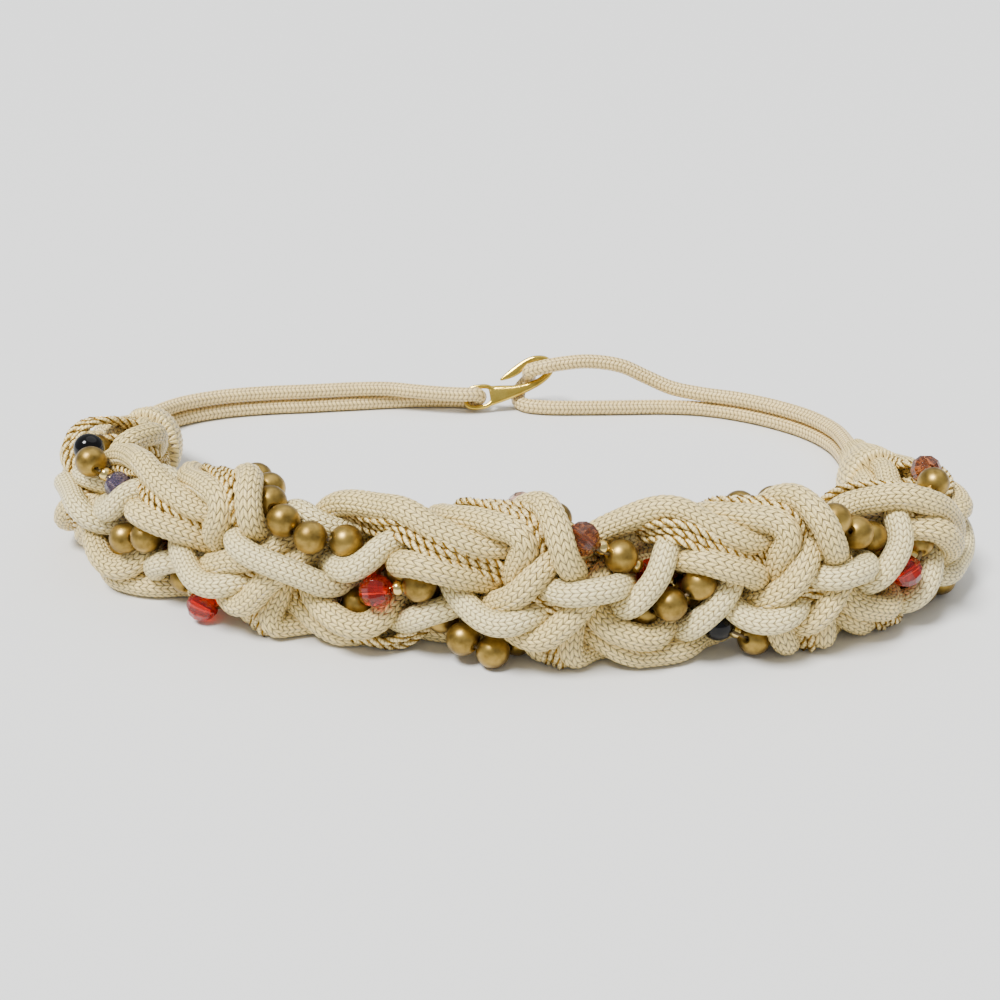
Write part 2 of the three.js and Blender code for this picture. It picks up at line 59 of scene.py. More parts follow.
PLAN_START = (-134, 30, -94)
PLAN_ARCS = [
    {"length": 40, "turn": 12},
    {"length": 50, "turn": 50},
    {"length": 150, "turn": 33},
    {"length": 80, "turn": 22},
    {"length": 54, "turn": 66},
    {"length": 22, "turn": 10},
]
BRAID_LENGTH = sum(arc["length"] for arc in PLAN_ARCS)
STRAND_RUN = (-0.56, 4.42)
WRAP_RUN = (-0.36, 4.55)
EYE_COUNTS = np.array([-0.56, 0, 1, 2, 3, 4, 4.42])
EYE_PLACES = np.array([0, 47, 133, 222, 294, 365, BRAID_LENGTH], float)
STRANDS = {
    "beadsOne": {"top": 1, "rise": 12.5, "left": 2, "right": 1},
    "beadsTwo": {"top": 2, "rise": 12.5, "left": 1, "right": 2},
    "wideOne": {"top": 1.5, "rise": 14, "left": 3, "right": 0},
    "wideTwo": {"top": 2.5, "rise": 14, "left": 0, "right": 3},
}
LANES = [
    {"name": "satin_rope_1", "strand": "beadsOne", "lane": 1, "size": SATIN_ROPE},
    {"name": "gold_bead_string", "strand": "beadsOne", "lane": 0, "size": BEAD},
    {"name": "satin_rope_2", "strand": "beadsOne", "lane": -1, "size": SATIN_ROPE},
    {"name": "satin_rope_3", "strand": "beadsTwo", "lane": 1, "size": SATIN_ROPE},
    {"name": "jewel_bead_string", "strand": "beadsTwo", "lane": 0, "size": BEAD},
    {"name": "satin_rope_4", "strand": "beadsTwo", "lane": -1, "size": SATIN_ROPE},
    {"name": "knit_rope_1", "strand": "wideOne", "lane": 1, "size": KNIT_ROPE},
    {"name": "gold_twist_1", "strand": "wideOne", "lane": 0, "size": GOLD_TWIST},
    {"name": "knit_rope_2", "strand": "wideOne", "lane": -1, "size": KNIT_ROPE},
    {"name": "knit_rope_3", "strand": "wideTwo", "lane": 1, "size": KNIT_ROPE},
    {"name": "gold_twist_2", "strand": "wideTwo", "lane": 0, "size": GOLD_TWIST},
    {"name": "knit_rope_4", "strand": "wideTwo", "lane": -1, "size": KNIT_ROPE},
    {"name": "wrap_rope_1", "strand": "wrap", "lane": 1, "size": KNIT_ROPE},
    {"name": "gold_twist_3", "strand": "wrap", "lane": 0, "size": GOLD_TWIST},
    {"name": "wrap_rope_2", "strand": "wrap", "lane": -1, "size": KNIT_ROPE},
]
LANE_STEP = {"beadsOne": 7.6, "beadsTwo": 7.6, "wideOne": 5.2, "wideTwo": 5.2, "wrap": 5.2}
WRAP_TURN = [
    {"share": 0, "pitch": 0.02, "up": 19, "out": 12},
    {"share": 0.13, "pitch": 0, "up": 0, "out": -1},
    {"share": 0.26, "pitch": -0.02, "up": -19, "out": 12},
    {"share": 0.36, "pitch": 0.03, "up": -24, "out": 0},
    {"share": 0.62, "pitch": 0.5, "up": 0, "out": -16},
    {"share": 0.9, "pitch": 0.97, "up": 24, "out": 0},
    {"share": 1, "pitch": 1.02, "up": 19, "out": 12},
]

# How the cords settle against each other
SAMPLES = 1600
POINT_STEP = 2.7
ROUNDS = 500
SLIM = 0.5
LOOSE_DEPTH = 2.3
LOOSE_WRAP = 1.3
OUTER_TILT = 1.9
INNER_TILT = 0.9
BEAD_LIFT = 3.5
WRAP_FACE = 4
END_RUN = {"left": 84, "right": 80}
BEAD_END_RUN = 20
ROW_STEP = 7
FIRST_ROW = 4.2
COLUMN_STEP = 4.6
WRAP_COLUMN = -11.5
NEAR = 7
LIST_EVERY = 8
SMOOTHING = (0.16, 0.07)
PULL = (0.02, 0.002)
SWELL_SHARE = 0.5
PUSH = 1.5
PUSH_EVENING = 3
FIXED = 2
EASY_BEND = 0.45
EASING_ROUNDS = 260
EASING_REACH = 0.9
GATHERED = 0.65

# How finely the pieces are made, and the stitches of each kind of cord: rows and columns, height and slant
SPLINE_STEPS = 24
CORD_STEP = 0.6
SATIN_STEP = 0.8
KNIT_STEP = 0.7
TWIST_STEP = 1
BEAD_STEP = 0.5
CORD_STITCHES = {"sides": 16, "columns": 5, "row": 1.8, "raised": 0.3, "slant": 1.1}
SATIN_STITCHES = {"sides": 20, "columns": 10, "row": 1.7, "raised": 0.1, "slant": 1.2, "turn": 0.004}
KNIT_STITCHES = {"sides": 30, "columns": 10, "row": 1.95, "raised": 0.4, "slant": 1.2, "turn": 0.01}
SLEEVE_STITCHES = {"sides": 96, "columns": 24, "row": 2.4, "raised": 0.6, "slant": 1.3}
SLEEVE_EDGE = 3

# Sleeves and the two doubled back cords, as in the solids
SLEEVE_ROWS = {
    "left": [
        {"x": -130.4, "y": 32, "z": 15.6, "wide": 25, "tall": 30.4},
        {"x": -129.9, "y": 39, "z": 14.8, "wide": 23.5, "tall": 28.6},
        {"x": -134.5, "y": 50, "z": 12.6, "wide": 19, "tall": 24.4},
        {"x": -139.5, "y": 61, "z": 10.4, "wide": 14, "tall": 20},
        {"x": -142.8, "y": 70.5, "z": 9.3, "wide": 12, "tall": 17.8},
    ],
    "right": [
        {"x": 137.3, "y": -7.5, "z": 15.6, "wide": 25, "tall": 30.4},
        {"x": 136.2, "y": -0.6, "z": 14.8, "wide": 23.5, "tall": 28.6},
        {"x": 138, "y": 13, "z": 12.6, "wide": 19, "tall": 24.4},
        {"x": 139.5, "y": 26, "z": 10.4, "wide": 14, "tall": 20},
        {"x": 140.2, "y": 38, "z": 9.3, "wide": 12, "tall": 17.8},
    ],
}
SLEEVE_LOW = np.array([-148.468, 30.102, 0.6])
CORD_ROUTES = {
    "left": [
        (-143.1, 72.2, 3.5),
        (-141, 84, 3.3),
        (-133, 96, 3.2),
        (-118, 105, 3.2),
        (-99, 110, 3.2),
        (-80, 112.5, 3.2),
        (-60, 115.5, 3.2),
        (-42, 118, 3.2),
        (-27, 119, 3.2),
        (-16, 118.6, 3.2),
        (-10, 117.6, 3.5),
        (-6, 115.7, 4.9),
        (-4.9, 113.9, 6.7),
        (-6.2, 111.8, 8.5),
        (-11, 110, 9.2),
        (-20, 110.8, 9.3),
        (-32, 113, 9.5),
        (-45, 115.6, 9.8),
        (-60, 115.3, 9.8),
        (-80, 112.5, 9.8),
        (-99, 110, 9.8),
        (-118, 105, 9.8),
        (-133, 96, 9.8),
        (-141, 84, 9.9),
        (-143.1, 72.2, 10.2),
    ],
    "right": [
        (140.3, 38.5, 3.5),
        (141, 53, 3.3),
        (139.5, 66, 3.2),
        (133, 80, 3.2),
        (122, 92, 3.2),
        (107, 102.5, 3.2),
        (92, 108.5, 3.2),
        (76, 110.5, 3.2),
        (57, 110, 3.2),
        (38, 109.5, 3.2),
        (25, 109.8, 3.2),
        (16, 112.2, 3.3),
        (12.2, 117.4, 3.8),
        (13, 122.4, 7.4),
        (16.6, 122.6, 12),
        (16.8, 118.6, 15.8),
        (17.2, 115, 18.4),
        (22, 113, 20.6),
        (31, 113, 22.4),
        (43, 114, 23),
        (57, 115, 20.6),
        (68, 115, 15.6),
        (79, 113, 11.3),
        (92, 108.9, 9.8),
        (107, 102.5, 9.8),
        (122, 92, 9.8),
        (133, 80, 9.8),
        (139.5, 66, 9.8),
        (141, 53, 9.9),
        (140.3, 38.5, 10.2),
    ],
}

# The hook lies in a tilted plane: how far along and across it, half its width and half its thickness
HOOK_FROM = np.array([-11, 114, 5.9])
HOOK_RISE = math.radians(6.7)
HOOK_TILT = math.radians(55)
HOOK_EYE = {"along": 6, "long": 6, "wide": 4.7, "square": 0.7, "half": 1, "thick": 1.1}
HOOK_BAR = np.array([
    (10.6, 0, 4.6, 1.1),
    (15.4, 0.4, 3.9, 1.2),
    (21.9, 1, 2.7, 1.3),
    (27.8, 2.2, 1.9, 1.3),
    (33.4, 4.6, 1.6, 1.3),
    (37, 8, 1.6, 1.3),
    (37.6, 11.2, 1.5, 1.3),
    (35, 13.9, 1.4, 1.2),
    (30.6, 14.6, 1.4, 1.2),
    (26.6, 13.4, 1.5, 1.1),
    (22.6, 10.4, 2.1, 1),
    (18.8, 8.3, 1.6, 0.8),
    (15.2, 6.7, 0.5, 0.4),
])


# Curves and chains


def smooth(v):
    v = np.clip(v, 0, 1)
    return v * v * (3 - 2 * v)


def mix(a, b, t):
    return a + (b - a) * t


def unit(v):
    return v / np.linalg.norm(v, axis=-1, keepdims=True)


def look_up(xs, ys, at):
    """Values between the rows of a table, by straight lines, past its ends too."""
    i = np.clip(np.searchsorted(xs, at) - 1, 0, len(xs) - 2)
    return mix(ys[i], ys[i + 1], (at - xs[i]) / (xs[i + 1] - xs[i]))


def plan_at(along):
    """The plan's points and headings at distances along the plait."""
    x = np.full(along.shape, float(PLAN_START[0]))
    y = np.full(along.shape, float(PLAN_START[1]))
    heading = np.full(along.shape, math.radians(PLAN_START[2]))
    left = along.copy()
    for arc in PLAN_ARCS:
        run = np.clip(left, 0, arc["length"])
        bend = math.radians(arc["turn"]) / arc["length"]
        end = heading + bend * run
        x += (np.sin(end) - np.sin(heading)) / bend
        y -= (np.cos(end) - np.cos(heading)) / bend
        heading = end
        left = left - run
    return x + left * np.cos(heading), y + left * np.sin(heading), heading


def outwards(along):
    heading = plan_at(along)[2]
    return np.stack([np.sin(heading), -np.cos(heading), np.zeros_like(heading)], axis=-1)


def place(along, up, out):
    x, y, heading = plan_at(along)
    return np.stack([x + np.sin(heading) * out, y - np.cos(heading) * out, up + 0 * x], axis=-1)


def braid_point(strand, count, depth):
    """The middle of a plait strand at eye counts, its rise, and the way out of the plait."""
    along = look_up(EYE_COUNTS, EYE_PLACES, count)
    phase = math.pi * (count - strand["top"]) + math.pi / 2
    up = BRAID_MIDDLE + strand["rise"] * np.sin(phase)
    return place(along, up, depth * np.cos(3 * phase)), along, np.sin(phase), outwards(along)


def wrap_point(count, spread):
    """The middle of the wrap at counts of turns, through the rows of its turn."""
    rows = {key: np.array([row[key] for row in WRAP_TURN], float) for key in WRAP_TURN[0]}
    turn = np.floor(count)
    share = count - turn
    i = np.clip(np.searchsorted(rows["share"], share) - 1, 0, len(WRAP_TURN) - 2)
    part = (share - rows["share"][i]) / (rows["share"][i + 1] - rows["share"][i])
    up = mix(rows["up"][i], rows["up"][i + 1], smooth(part))
    out = mix(rows["out"][i], rows["out"][i + 1], smooth(part)) * spread
    pitch = mix(rows["pitch"][i], rows["pitch"][i + 1], part)
    along = look_up(EYE_COUNTS, EYE_PLACES, turn + pitch)
    face = outwards(along) * (out + WRAP_FACE)[:, None]
    face[:, 2] = up
    return place(along, BRAID_MIDDLE + up, out), along, 0 * along, unit(face)


def bundle_point(row, along):
    """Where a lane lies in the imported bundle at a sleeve."""
    if row["strand"] == "wrap":
        return place(along, FIRST_ROW + (1.5 + row["lane"]) * ROW_STEP + 0 * along, WRAP_COLUMN)
    strand = STRANDS[row["strand"]]
    level = np.where(along < BRAID_LENGTH / 2, strand["left"], strand["right"])
    return place(along, FIRST_ROW + level * ROW_STEP, row["lane"] * COLUMN_STEP)


def lane_points(row, count, depth):
    """A lane beside the middle of its strand, and bundled near the sleeves."""

    def middle_at(c):
        if row["strand"] == "wrap":
            return wrap_point(c, LOOSE_WRAP if depth > STRAND_DEPTH else 1)
        return braid_point(STRANDS[row["strand"]], c, depth)

    point, along, rise, face = middle_at(count)
    side = unit(np.cross(face, unit(middle_at(count + 0.01)[0] - point)))
    turn = np.where(row["lane"] * rise > 0, OUTER_TILT, INNER_TILT)
    tilt = rise * turn if row["strand"].startswith("beads") else 0 * rise
    shift = LANE_STEP[row["strand"]] * row["lane"]
    if row["size"] == BEAD:
        point[:, 2] += BEAD_LIFT * rise
    point = point + side * (shift * np.cos(tilt))[:, None] - face * (shift * np.sin(tilt))[:, None]
    gathered = np.minimum(along / END_RUN["left"], (BRAID_LENGTH - along) / END_RUN["right"])
    return mix(bundle_point(row, along), point, smooth(gathered)[:, None])


def spaced(points, step):
    """Points at equal steps along a polyline."""
    run = np.concatenate([[0], np.cumsum(np.linalg.norm(np.diff(points, axis=0), axis=1))])
    count = int(run[-1] / step + 0.5)
    want = run[-1] * np.arange(count + 1) / count
    return np.stack([np.interp(want, run, column) for column in points.T], axis=1)


def lay_out():
    """Each lane as a chain of points, with its resting place as its goal."""
    made = []
    for row in LANES:
        run = WRAP_RUN if row["strand"] == "wrap" else STRAND_RUN
        counts = mix(run[0], run[1], np.arange(SAMPLES + 1) / SAMPLES)
        goal = spaced(lane_points(row, counts, STRAND_DEPTH), POINT_STEP)
        dense = spaced(lane_points(row, counts, STRAND_DEPTH * LOOSE_DEPTH), 0.5)
        number = len(goal)
        picks = np.floor(np.arange(number) * (len(dense) - 1) / (number - 1) + 0.5).astype(int)
        radii = np.full(number, row["size"] / 2 * PRESSED)
        if row["size"] == BEAD:
            end = np.minimum(np.arange(number), number - 1 - np.arange(number)) * POINT_STEP
            radii = mix(BEAD_THREAD, BEAD, np.clip(end / BEAD_END_RUN, 0, 1)) / 2
        made.append({**row, "goal": goal, "points": dense[picks], "radii": radii})
    return made


def near_pairs(points, radii, owners):
    """The pairs of points on different cords that are near enough to meet."""
    firsts, seconds = [], []
    for i in range(0, len(points), 200):
        block = slice(i, i + 200)
        reach = radii[block, None] + radii[None, :] + NEAR
        apart = points[block, None, :] - points[None, :, :]
        near = (apart**2).sum(-1) < reach**2
        near &= owners[block, None] < owners[None, :]
        a, b = np.nonzero(near)
        firsts.append(a + i)
        seconds.append(b)
    return np.concatenate(firsts), np.concatenate(seconds)


def settle(cords):
    """The cords swell from slim to full size and push each other apart until they rest."""
    points = np.concatenate([cord["points"] for cord in cords])
    goals = np.concatenate([cord["goal"] for cord in cords])
    radii = np.concatenate([cord["radii"] for cord in cords])
    owners = np.concatenate([np.full(len(cord["points"]), k) for k, cord in enumerate(cords)])
    number = len(points)
    first = np.r_[True, owners[1:] != owners[:-1]]
    last = np.r_[owners[1:] != owners[:-1], True]
    inner = ~(first | last)
    before = np.arange(number) - 1
    after = (np.arange(number) + 1) % number
    fixed = np.zeros(number, bool)
    for k in range(FIXED):
        fixed |= np.roll(first, k) | np.roll(last, -k)
    for turn in range(ROUNDS):
        swell = mix(SLIM, 1, min(1, turn / (SWELL_SHARE * ROUNDS)))
        firm = max(0, (turn / ROUNDS - SWELL_SHARE) / (1 - SWELL_SHARE))
        if turn % LIST_EVERY == 0:
            a, b = near_pairs(points, radii, owners)
        apart = points[b] - points[a]
        distance = np.maximum(np.linalg.norm(apart, axis=1), 1e-6)
        overlap = (radii[a] + radii[b]) * swell - distance
        hit = overlap > 0
        push = apart[hit] * (overlap[hit] / distance[hit] / 2)[:, None]
        hits = np.bincount(a[hit], minlength=number) + np.bincount(b[hit], minlength=number)
        moves = np.empty((number, 3))
        for k in range(3):
            moves[:, k] = np.bincount(b[hit], push[:, k], number)
            moves[:, k] -= np.bincount(a[hit], push[:, k], number)
        moves *= (PUSH / np.maximum(1, hits))[:, None]
        for _ in range(PUSH_EVENING):
            evened = (moves[before] + moves[after]) / 4 + moves / 2
            moves = np.where(inner[:, None], evened, moves)
        leans = (points[before] + points[after]) / 2 - points
        moves += leans * mix(SMOOTHING[0], SMOOTHING[1], firm)
        moved = mix(points + moves, goals, mix(PULL[0], PULL[1], firm))
        moved[:, 2] = np.maximum(moved[:, 2], radii)
        points = np.where(fixed[:, None], points, moved)
    return {cord["name"]: points[owners == k] for k, cord in enumerate(cords)}


def spline(rows, step):
    """Evenly spaced points on a centripetal curve through the rows."""
    rows = np.array(rows, float)
    ends = [2 * rows[0] - rows[1], *rows, 2 * rows[-1] - rows[-2]]
    made = []
    for a, b, c, d in zip(ends, ends[1:], ends[2:], ends[3:]):
        knots = [0.0]
        for p, q in ((a, b), (b, c), (c, d)):
            knots.append(knots[-1] + math.sqrt(max(np.linalg.norm(q - p), 1e-9)))
        t = np.linspace(knots[1], knots[2], SPLINE_STEPS, endpoint=False)[:, None]
        level = [a, b, c, d]
        for width in (1, 2):
            level = [
                ((knots[i + width] - t) * p + (t - knots[i]) * q) / (knots[i + width] - knots[i])
                for i, (p, q) in enumerate(zip(level, level[1:]))
            ]
        made.append(((knots[2] - t) * level[0] + (t - knots[1]) * level[1]) / (knots[2] - knots[1]))
    made.append(rows[-1:])
    return spaced(np.concatenate(made), step)


def rounded(points, radius):
    """The path with its sharpest bends eased, so that a cord of this radius doesn't fold."""
    for _ in range(EASING_ROUNDS):
        middle = (points[:-2] + points[2:]) / 2
        step = np.linalg.norm(points[2:] - points[:-2], axis=1) / 2
        bend = 2 * np.linalg.norm(middle - points[1:-1], axis=1) / step**2 * radius
        ease = smooth((bend - EASY_BEND) / (1 - EASY_BEND))
        ease = np.maximum(ease, np.maximum(np.roll(ease, 1), np.roll(ease, -1)) * EASING_REACH)
        points = points.copy()
        points[1:-1] += (middle - points[1:-1]) * (ease * 0.5)[:, None]
    return points


def above_floor(points, clear):
    """The path, with its low points raised so that a cord on it clears the floor."""
    return np.column_stack([points[:, :2], np.maximum(points[:, 2], clear + FLOOR_LEVEL)])


def into_sleeves(points):
    """A rope's path, carried on into the sleeve at each end."""
    ends = []
    for end, rows in ((points[0], SLEEVE_ROWS["left"]), (points[-1], SLEEVE_ROWS["right"])):
        mouth, inner = (np.array([rows[i][key] for key in "xyz"]) for i in (0, 2))
        ends.append(inner + (end - mouth) * GATHERED)
    return np.vstack([ends[0], points, ends[1]])


def frames(points):
    """The way along each point, with a side and a top that don't twist on the way."""
    along = unit(np.gradient(points, axis=0))
    side = np.cross([0, 0, 1], along[0])
    sides = []
    for way in along:
        side = side - way * side.dot(way)
        side = side / np.linalg.norm(side)
        sides.append(side)
    sides = np.array(sides)
    return along, sides, np.cross(along, sides)


def distances(points):
    return np.concatenate([[0], np.cumsum(np.linalg.norm(np.diff(points, axis=0), axis=1))])


# Shells: vertices, four-cornered faces, stitch coordinates and the number of their material


def stitch_height(u, v, slant):
    """How high a knitted stitch stands, from 0 to 1: two legs in a V, in every unit of u and v."""
    off = np.abs(u % 1 - 0.5)
    leg = 1 - (2 * ((v + off * slant) % 1) - 1) ** 2
    belly = 1 - ((off - 0.25) / 0.25) ** 2
    return np.sqrt(leg) * (0.4 + 0.6 * belly)


def grid_shell(rings, u, v, material=0, closed=False):
    """A tube through rings of points, with u round it and v along it; a closed one has no ends."""
    count, sides = rings.shape[:2]
    last = count if closed else count - 1
    i, k = np.meshgrid(np.arange(last), np.arange(sides), indexing="ij")
    j, m = (i + 1) % count, (k + 1) % sides
    faces = np.stack([i * sides + k, i * sides + m, j * sides + m, j * sides + k], axis=-1)
    us = np.stack([u[k], u[k + 1], u[k + 1], u[k]], axis=-1)
    vs = np.stack([v[i], v[i], v[i + 1], v[i + 1]], axis=-1)
    return {
        "verts": rings.reshape(-1, 3),
        "faces": faces.reshape(-1, 4),
        "uvs": np.stack([us, vs], axis=-1).reshape(-1, 4, 2),
        "material": material,
    }


def tube_shell(points, radius, sides, columns=1, row=1, raised=0, slant=1, turn=0, material=0):
    """A round tube of rows of stitches; it narrows to nothing over its last rings."""
    _, side, top = frames(points)
    run = distances(points)
    u = np.arange(sides + 1) / sides * columns
    v = run / row
    angle = 2 * math.pi * np.arange(sides) / sides + (turn * run)[:, None]
    size = radius + 0 * angle
    if raised:
        size = radius - raised * (1 - stitch_height(u[None, :-1], v[:, None], slant))
    from_end = np.minimum(run, run[-1] - run)
    size = size * np.sqrt(np.clip(from_end / radius, 0.001, 1))[:, None]
    rings = points[:, None] + side[:, None] * (size * np.cos(angle))[..., None]
    rings = rings + top[:, None] * (size * np.sin(angle))[..., None]
    return grid_shell(rings, u, v, material)


def lathe_shell(centre, way, profile, sides, material=0, turn=0.0):
    """A body turned round a way, from (along, out) points in order, closed through its drill hole."""
    side = unit(np.cross(way, [0.3, 0.2, 1.0]))
    top = np.cross(way, side)
    angle = 2 * math.pi * (np.arange(sides) + turn) / sides
    spokes = side * np.cos(angle)[:, None] + top * np.sin(angle)[:, None]
    rings = np.array([centre + way * a + spokes * r for a, r in profile])
    return grid_shell(rings, np.arange(sides + 1.0), np.arange(len(profile) + 1.0), material, True)


def make_object(name, shells, materials):
    """One mesh object from shells in millimetres, moved to where the solids lie."""
    starts = np.cumsum([0] + [len(shell["verts"]) for shell in shells])
    verts = (np.concatenate([shell["verts"] for shell in shells]) + SHIFT) * MM
    faces = np.concatenate([shell["faces"] + start for shell, start in zip(shells, starts)])
    uvs = np.concatenate([shell["uvs"] for shell in shells])
    numbers = np.concatenate([np.full(len(shell["faces"]), shell["material"]) for shell in shells])
    mesh = bpy.data.meshes.new(name)
    mesh.vertices.add(len(verts))
    mesh.vertices.foreach_set("co", verts.ravel())
    mesh.loops.add(faces.size)
    mesh.loops.foreach_set("vertex_index", faces.ravel())
    mesh.polygons.add(len(faces))
    mesh.polygons.foreach_set("loop_start", np.arange(len(faces)) * 4)
    mesh.polygons.foreach_set("material_index", numbers)
    mesh.polygons.foreach_set("use_smooth", np.full(len(faces), True))
    mesh.uv_layers.new(name="stitches").data.foreach_set("uv", uvs.ravel())
    for material in materials:
        mesh.materials.append(material)
    mesh.update(calc_edges=True)
    made = bpy.data.objects.new(name, mesh)
    bpy.context.scene.collection.objects.link(made)
    return made


def add_piece(name, shells, materials, slot, *nodes):
    """A piece of the belt that rides on it, and stands for CAD nodes."""
    piece = make_object(name, shells, materials)
    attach(piece, "root")
    if nodes:
        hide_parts(*nodes)
    return piece


# Materials
FIBRES_PER_STITCH = 25
FIBRE_HEIGHT = 0.09
TINT_SCALE = 90
TINT_RANGE = 0.3
WEAR_SCALE = 260
WEAR_RANGE = 0.2
YARN = {"Specular_IOR_Level": 0.7, "Coat_Weight": 0.15, "Coat_Roughness": 0.4}
GLASS = {"Roughness": 0.03, "IOR": 1.5}


def maths(tree, operation, *values):
    """A math node's result, from numbers or other nodes' outputs."""
    made = tree.nodes.new("ShaderNodeMath")
    made.operation = operation
    for socket, value in zip(made.inputs, values):
        if isinstance(value, bpy.types.NodeSocket):
            tree.links.new(value, socket)
        else:
            socket.default_value = value
    return made.outputs[0]


def stitch_group():
    """A shared effect: the height of the V stitches, with fibres on their legs."""
    tree = bpy.data.node_groups.new("V stitches", "ShaderNodeTree")
    tree.interface.new_socket("Slant", in_out="INPUT", socket_type="NodeSocketFloat")
    tree.interface.new_socket("Height", in_out="OUTPUT", socket_type="NodeSocketFloat")
    given = tree.nodes.new("NodeGroupInput")
    out = tree.nodes.new("NodeGroupOutput")
    where = tree.nodes.new("ShaderNodeUVMap")
    where.uv_map = "stitches"
    parts = tree.nodes.new("ShaderNodeSeparateXYZ")
    tree.links.new(where.outputs["UV"], parts.inputs[0])
    off = maths(tree, "ABSOLUTE", maths(tree, "SUBTRACT", maths(tree, "FRACT", parts.outputs["X"]), 0.5))
    slanted = maths(tree, "MULTIPLY", off, given.outputs["Slant"])
    row = maths(tree, "FRACT", maths(tree, "ADD", parts.outputs["Y"], slanted))
    off_leg = maths(tree, "ABSOLUTE", maths(tree, "SUBTRACT", maths(tree, "MULTIPLY", row, 2), 1))
    leg = maths(tree, "SUBTRACT", 1, maths(tree, "POWER", off_leg, 2))
    off_belly = maths(tree, "ABSOLUTE", maths(tree, "MULTIPLY", maths(tree, "SUBTRACT", off, 0.25), 4))
    belly = maths(tree, "SUBTRACT", 1, maths(tree, "POWER", off_belly, 2))
    crown = maths(tree, "ADD", 0.4, maths(tree, "MULTIPLY", belly, 0.6))
    height = maths(tree, "MULTIPLY", maths(tree, "SQRT", leg), crown)
    wave = maths(tree, "SINE", maths(tree, "MULTIPLY", row, FIBRES_PER_STITCH))
    fibres = maths(tree, "MULTIPLY", wave, FIBRE_HEIGHT)
    tree.links.new(maths(tree, "ADD", height, fibres), out.inputs["Height"])
    return tree


def linear(value):
    """One channel of a colour, from 0 to 255, as the shader wants it."""
    return ((value / 255 + 0.055) / 1.055) ** 2.4 if value > 10 else value / 3295


def srgb(red, green, blue):
    """A colour read, from 0 to 255, as the shader wants it."""
    return linear(red), linear(green), linear(blue), 1


def plain(name, **values):
    """A material of constant values on the shader's own sockets."""
    made = bpy.data.materials.new(name)
    made.use_nodes = True
    shader = made.node_tree.nodes["Principled BSDF"]
    for key, value in values.items():
        shader.inputs[key.replace("_", " ")].default_value = value
    return made


def knitted(name, light, dark, slant, depth, stitches, roughness, sheen):
    """A stitched cord: dark between the stitches, as painted shade, and light on top of them, with a slow
    change along it.
    """
    made = plain(name, Roughness=roughness, Sheen_Weight=sheen, **YARN)
    tree = made.node_tree
    shader = tree.nodes["Principled BSDF"]
    relief = tree.nodes.new("ShaderNodeGroup")
    relief.node_tree = stitches
    relief.inputs["Slant"].default_value = slant
    height = relief.outputs["Height"]
    # Painted shade: by stitch height, the dark colour goes into the gaps between the stitches and the light
    # colour onto their tops
    ramp = tree.nodes.new("ShaderNodeValToRGB")
    ramp.color_ramp.elements[0].position = 0.15
    ramp.color_ramp.elements[0].color = dark
    ramp.color_ramp.elements[1].position = 0.7
    ramp.color_ramp.elements[1].color = light
    tree.links.new(height, ramp.inputs["Fac"])
    noise = tree.nodes.new("ShaderNodeTexNoise")
    noise.inputs["Scale"].default_value = TINT_SCALE
    where = tree.nodes.new("ShaderNodeTexCoord")
    tree.links.new(where.outputs["Object"], noise.inputs["Vector"])
    tint = tree.nodes.new("ShaderNodeHueSaturation")
    shade = maths(tree, "MULTIPLY_ADD", noise.outputs["Fac"], TINT_RANGE, 1 - TINT_RANGE / 2)
    tree.links.new(shade, tint.inputs["Value"])
    tree.links.new(ramp.outputs["Color"], tint.inputs["Color"])
    tree.links.new(tint.outputs["Color"], shader.inputs["Base Color"])
    bump = tree.nodes.new("ShaderNodeBump")
    bump.inputs["Strength"].default_value = 1.0
    bump.inputs["Distance"].default_value = depth
    tree.links.new(height, bump.inputs["Height"])
    tree.links.new(bump.outputs["Normal"], shader.inputs["Normal"])
    return made


def worn_gold(name, light, dark, roughness):
    """Matte antique gold: darker and rougher in soft patches."""
    made = plain(name, Metallic=0.9)
    tree = made.node_tree
    shader = tree.nodes["Principled BSDF"]
    noise = tree.nodes.new("ShaderNodeTexNoise")
    noise.inputs["Scale"].default_value = WEAR_SCALE
    noise.inputs["Detail"].default_value = 4
    where = tree.nodes.new("ShaderNodeTexCoord")
    tree.links.new(where.outputs["Object"], noise.inputs["Vector"])
    ramp = tree.nodes.new("ShaderNodeValToRGB")
    ramp.color_ramp.elements[0].position = 0.3
    ramp.color_ramp.elements[0].color = dark
    ramp.color_ramp.elements[1].position = 0.65
    ramp.color_ramp.elements[1].color = light
    tree.links.new(noise.outputs["Fac"], ramp.inputs["Fac"])
    tree.links.new(ramp.outputs["Color"], shader.inputs["Base Color"])
    rough = maths(tree, "MULTIPLY_ADD", noise.outputs["Fac"], -WEAR_RANGE, roughness + WEAR_RANGE / 2)
    tree.links.new(rough, shader.inputs["Roughness"])
    return made


STITCHES = stitch_group()
CREAM = srgb(255, 227, 148)
# Painted shade: the dark colour between the stitches of the knitted ropes and the sleeves
KNIT_GAP_SHADE = srgb(78, 54, 12)
# Painted shade: the satin rope's dark colour, between its stitches
SATIN = knitted("satin rope", srgb(255, 236, 170), srgb(116, 86, 32), 1.2, 0.0005, STITCHES, 0.28, 0.04)
KNIT = knitted("knitted rope", CREAM, KNIT_GAP_SHADE, 1.3, 0.0006, STITCHES, 0.3, 0.04)
BEIGE = srgb(252, 222, 150)
# Painted shade: the herringbone cord's dark colour, between its stitches
CORD_GAP_SHADE = srgb(104, 74, 26)
HERRINGBONE = knitted("herringbone cord", BEIGE, CORD_GAP_SHADE, 1.1, 0.0005, STITCHES, 0.3, 0.04)
